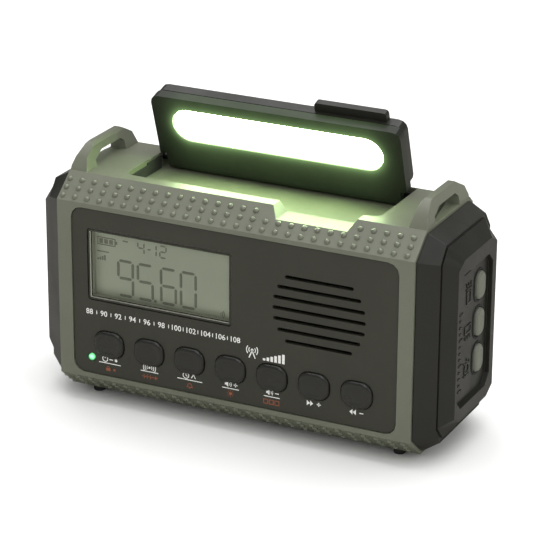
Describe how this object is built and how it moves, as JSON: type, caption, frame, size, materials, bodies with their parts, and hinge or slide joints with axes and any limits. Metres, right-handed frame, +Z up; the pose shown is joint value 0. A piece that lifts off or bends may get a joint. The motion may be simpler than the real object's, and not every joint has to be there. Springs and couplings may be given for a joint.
{
  "type": "emergency radio",
  "caption": "Hand-crank emergency radio: olive shell, dark panel with display, keys and speaker slots, hinged solar lid with lamp, torch and telescopic antenna.",
  "frame": {"origin": "centre of the bounding box at the bottom, where the feet stand", "axes": "+X to the right seen from the front, +Y from the front panel to the back, +Z up"},
  "size_m": [0.1622, 0.0682, 0.1158],
  "materials": {
    "olive": "fine moulded texture, satin",
    "panel": "fine satin, warm dark grey",
    "black": "fine spark-eroded texture, satin",
    "key": "smooth satin",
    "grey_key": "smooth matte silicone",
    "light_grey": "smooth satin",
    "lcd": "satin polariser over grey glass",
    "clear": "clear polished plastic",
    "lamp": "lit milky diffuser",
    "green_light": "lit indicator lens",
    "rubber": "matte",
    "steel": "brushed",
    "chrome": "polished",
    "brass": "machined",
    "circuit": "solder mask",
    "solar": "glossy laminate over dark cells",
    "gear": "smooth acetal",
    "ferrite": "sintered, matte",
    "copper": "enamelled wire",
    "wrap": "shrink wrap",
    "cone": "pressed paper, matte"
  },
  "bodies": {
    "housing": {"main_housing": "olive", "rear_cover": "olive", "front_panel": "panel", "lcd_frame": "light_grey", "lcd_lens": "clear", "lcd_module": "lcd", "speaker_basket": "steel", "speaker_cone": "cone", "speaker_magnet": "ferrite", "power_led": "green_light", "left_end_cap": "black", "right_end_cap": "black", "torch_lens": "clear", "torch_reflector": "chrome", "torch_board": "circuit", "side_board": "circuit", "keypad": "rubber", "main_board": "circuit", "battery_pack": "wrap", "ferrite_rod": "ferrite", "ferrite_coil": "copper", "generator": "steel", "gearbox_plate": "steel", "usb_socket": "steel", "hinge_pin_left": "steel", "hinge_pin_right": "steel", "foot_front_left": "rubber", "foot_front_right": "rubber", "foot_rear_left": "rubber", "foot_rear_right": "rubber"},
    "lid": {"lid_bezel": "black", "lid_shell": "black", "solar_panel": "solar", "lamp_diffuser": "lamp", "lamp_board": "circuit"},
    "crank": {"crank_arm": "black", "crank_axle": "steel", "drive_gear": "gear"},
    "knob_pivot": {"knob_shaft": "steel"},
    "knob": {"crank_knob": "black"},
    "idler": {"idler_gear": "gear"},
    "rotor": {"generator_pinion": "brass"},
    "antenna_base": {"antenna_swivel": "chrome"},
    "antenna_1": {"antenna_tube_1": "chrome"},
    "antenna_2": {"antenna_tube_2": "chrome"},
    "antenna_3": {"antenna_tube_3": "chrome"},
    "antenna_4": {"antenna_tube_4": "chrome"},
    "battery_hatch": {"battery_door": "olive"},
    "port_flap": {"port_cover": "rubber"},
    "key_power": {"button_power": "key"},
    "key_band": {"button_band": "key"},
    "key_time": {"button_time": "key"},
    "key_volume_up": {"button_volume_up": "key"},
    "key_volume_down": {"button_volume_down": "key"},
    "key_tune_up": {"button_tune_up": "key"},
    "key_tune_down": {"button_tune_down": "key"},
    "side_key_1": {"side_button_1": "grey_key"},
    "side_key_2": {"side_button_2": "grey_key"},
    "side_key_3": {"side_button_3": "grey_key"}
  },
  "joints": [
    {"name": "lid_hinge", "type": "hinge", "parent": "housing", "child": "lid", "pos_m": [0, 0.01132, 0.0831], "axis": [1, 0, 0], "range_deg": [-12, 72]},
    {"name": "press_power", "type": "slide", "parent": "housing", "child": "key_power", "axis": [0, 1, 0], "range_m": [0, 0.001], "stiffness_N_per_m": 400},
    {"name": "press_band", "type": "slide", "parent": "housing", "child": "key_band", "axis": [0, 1, 0], "range_m": [0, 0.001], "stiffness_N_per_m": 400},
    {"name": "press_time", "type": "slide", "parent": "housing", "child": "key_time", "axis": [0, 1, 0], "range_m": [0, 0.001], "stiffness_N_per_m": 400},
    {"name": "press_volume_up", "type": "slide", "parent": "housing", "child": "key_volume_up", "axis": [0, 1, 0], "range_m": [0, 0.001], "stiffness_N_per_m": 400},
    {"name": "press_volume_down", "type": "slide", "parent": "housing", "child": "key_volume_down", "axis": [0, 1, 0], "range_m": [0, 0.001], "stiffness_N_per_m": 400},
    {"name": "press_tune_up", "type": "slide", "parent": "housing", "child": "key_tune_up", "axis": [0, 1, 0], "range_m": [0, 0.001], "stiffness_N_per_m": 400},
    {"name": "press_tune_down", "type": "slide", "parent": "housing", "child": "key_tune_down", "axis": [0, 1, 0], "range_m": [0, 0.001], "stiffness_N_per_m": 400},
    {"name": "press_side_1", "type": "slide", "parent": "housing", "child": "side_key_1", "axis": [-1, 0, 0], "range_m": [0, 0.0008], "stiffness_N_per_m": 400},
    {"name": "press_side_2", "type": "slide", "parent": "housing", "child": "side_key_2", "axis": [-1, 0, 0], "range_m": [0, 0.0008], "stiffness_N_per_m": 400},
    {"name": "press_side_3", "type": "slide", "parent": "housing", "child": "side_key_3", "axis": [-1, 0, 0], "range_m": [0, 0.0008], "stiffness_N_per_m": 400},
    {"name": "crank_spin", "type": "hinge", "parent": "housing", "child": "crank", "pos_m": [0.034, 0.0237, 0.0498], "axis": [0, 1, 0], "continuous": true},
    {"name": "knob_fold", "type": "hinge", "parent": "crank", "child": "knob_pivot", "pos_m": [-0.003, 0.0295, 0.0498], "axis": [0, 0, 1], "range_deg": [0, 90]},
    {"name": "knob_spin", "type": "hinge", "parent": "knob_pivot", "child": "knob", "pos_m": [0.008, 0.0295, 0.0498], "axis": [1, 0, 0], "continuous": true},
    {"name": "idler_spin", "type": "hinge", "parent": "housing", "child": "idler", "pos_m": [0.01828, 0.0107, 0.0498], "axis": [0, 1, 0], "continuous": true},
    {"name": "rotor_spin", "type": "hinge", "parent": "housing", "child": "rotor", "pos_m": [0.00376, 0.0067, 0.0498], "axis": [0, 1, 0], "continuous": true},
    {"name": "antenna_turn", "type": "hinge", "parent": "housing", "child": "antenna_base", "pos_m": [-0.06, 0.0214, 0.0786], "axis": [0, -1, 0], "range_deg": [0, 120]},
    {"name": "antenna_tilt", "type": "hinge", "parent": "antenna_base", "child": "antenna_1", "pos_m": [-0.0545, 0.0214, 0.0786], "axis": [0, 0, 1], "range_deg": [0, 90]},
    {"name": "antenna_slide_1", "type": "slide", "parent": "antenna_1", "child": "antenna_2", "axis": [1, 0, 0], "range_m": [0, 0.085]},
    {"name": "antenna_slide_2", "type": "slide", "parent": "antenna_2", "child": "antenna_3", "axis": [1, 0, 0], "range_m": [0, 0.085]},
    {"name": "antenna_slide_3", "type": "slide", "parent": "antenna_3", "child": "antenna_4", "axis": [1, 0, 0], "range_m": [0, 0.085]},
    {"name": "battery_hatch_out", "type": "slide", "parent": "housing", "child": "battery_hatch", "axis": [0, 1, 0], "range_m": [0, 0.02]},
    {"name": "port_flap_hinge", "type": "hinge", "parent": "housing", "child": "port_flap", "pos_m": [0.028, 0.0237, 0.0161], "axis": [-1, 0, 0], "range_deg": [0, 100]}
  ],
  "couplings": [
    {"joint": "idler_spin", "follows": "crank_spin", "ratio": -3.3333},
    {"joint": "rotor_spin", "follows": "crank_spin", "ratio": 10}
  ]
}
